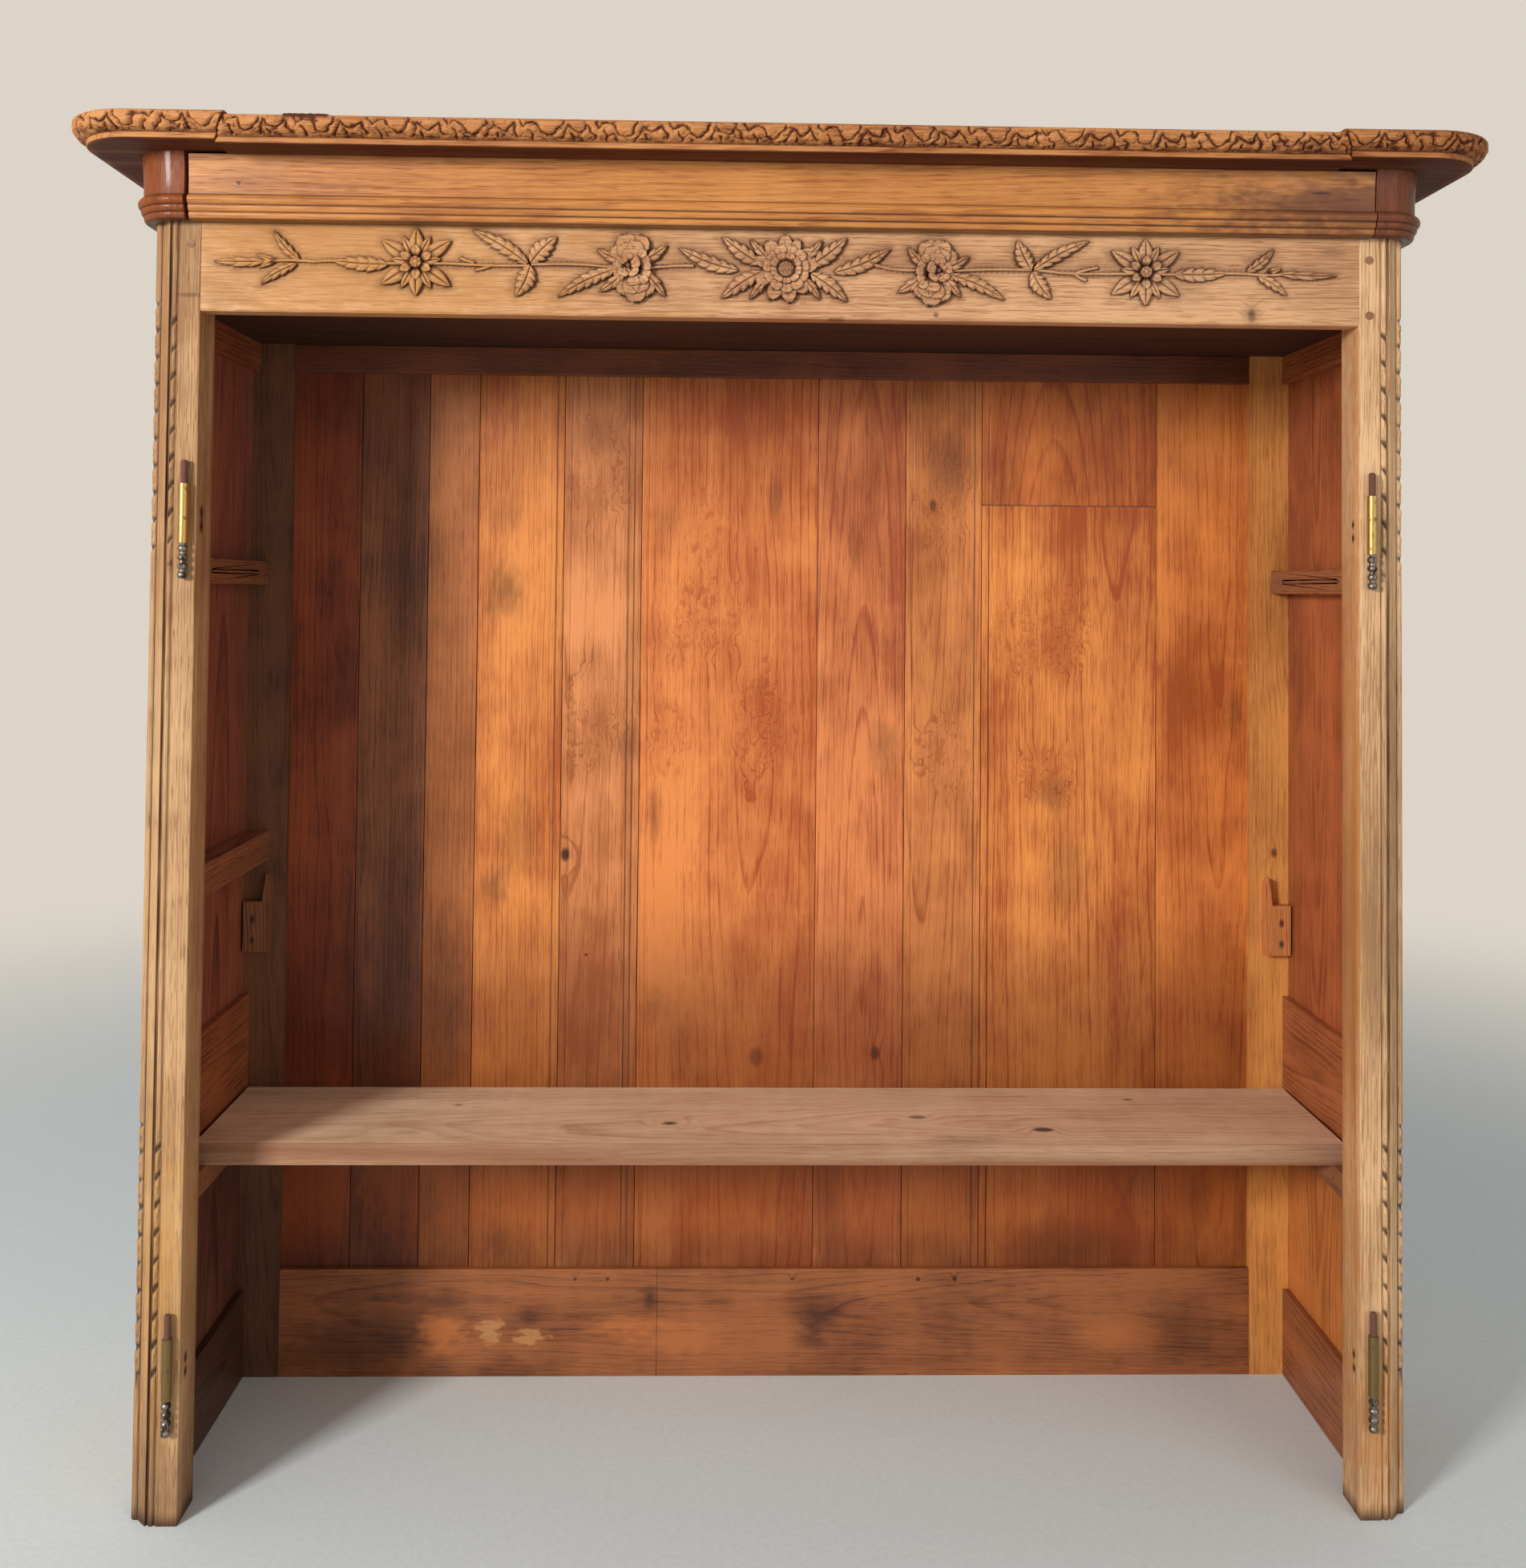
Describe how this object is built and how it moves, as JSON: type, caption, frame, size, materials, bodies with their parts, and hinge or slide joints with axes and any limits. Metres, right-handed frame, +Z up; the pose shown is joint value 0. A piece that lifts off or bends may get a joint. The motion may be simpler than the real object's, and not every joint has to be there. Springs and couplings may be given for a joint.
{
  "type": "buffet upper case",
  "caption": "Open-fronted upper case of a carved oak buffet: panelled sides, boarded back, loose plank shelf, lift-off cornice and the fixed halves of its door hinges.",
  "frame": {"origin": "middle of the bounding box's underside, on the surface that the case stands on", "axes": "+Z up, +X to the right seen from the front, the open front faces -Y"},
  "size_m": [1.453, 0.396, 1.4115],
  "materials": {
    "stripped_oak": "stripped and dry, weather-stained",
    "cornice_oak": "old wax, dark in the carving",
    "inside_wood": "old red-brown varnish",
    "hidden_wood": "rough and unfinished",
    "raw_plank": "raw planed plank",
    "hinge_brass": "worn polish",
    "hinge_steel": "dark and worn",
    "nail_iron": "rusted"
  },
  "bodies": {
    "carcass": {"back_board_01": "inside_wood", "back_board_02": "inside_wood", "back_board_03": "inside_wood", "back_board_04": "inside_wood", "back_board_05": "inside_wood", "back_board_06": "inside_wood", "back_board_07": "inside_wood", "back_board_08": "inside_wood", "back_board_09": "inside_wood", "back_board_09_upper": "inside_wood", "back_board_10": "inside_wood", "back_bottom_rail": "inside_wood", "back_post_left": "inside_wood", "back_post_right": "inside_wood", "back_top_rail": "inside_wood", "case_nails": "nail_iron", "ceiling_board_back": "hidden_wood", "ceiling_board_front": "hidden_wood", "draw_pegs": "stripped_oak", "frieze_rail": "stripped_oak", "front_stile_left": "stripped_oak", "front_stile_right": "stripped_oak", "hinge_leaf_lower_left": "hinge_brass", "hinge_leaf_lower_right": "hinge_brass", "hinge_leaf_upper_left": "hinge_brass", "hinge_leaf_upper_right": "hinge_brass", "hinge_nails": "nail_iron", "hinge_pins": "hinge_steel", "lower_cleat_left": "inside_wood", "lower_cleat_right": "inside_wood", "middle_cleat_left": "inside_wood", "shelf_block_left": "inside_wood", "shelf_block_right": "inside_wood", "side_bottom_rail_left": "inside_wood", "side_bottom_rail_right": "inside_wood", "side_lower_panel_left": "inside_wood", "side_lower_panel_right": "inside_wood", "side_middle_rail_left": "inside_wood", "side_middle_rail_right": "inside_wood", "side_top_rail_left": "inside_wood", "side_top_rail_right": "inside_wood", "side_upper_panel_left": "inside_wood", "side_upper_panel_right": "inside_wood", "upper_cleat_left": "inside_wood", "upper_cleat_right": "inside_wood"},
    "shelf": {"shelf": "raw_plank"},
    "cornice": {"cornice_back_rail": "hidden_wood", "crown_corner_left": "cornice_oak", "crown_corner_right": "cornice_oak", "crown_front": "cornice_oak", "crown_side_left": "cornice_oak", "crown_side_right": "cornice_oak", "dust_board_back": "hidden_wood", "dust_board_front": "hidden_wood", "frieze_corner_left": "cornice_oak", "frieze_corner_right": "cornice_oak", "frieze_moulding": "cornice_oak", "frieze_side_left": "cornice_oak", "frieze_side_right": "cornice_oak"}
  },
  "joints": [
    {"name": "shelf_lift", "type": "slide", "parent": "carcass", "child": "shelf", "axis": [0, 0, 1], "range_m": [0, 0.25]},
    {"name": "cornice_lift", "type": "slide", "parent": "carcass", "child": "cornice", "axis": [0, 0, 1], "range_m": [0, 0.12]}
  ]
}
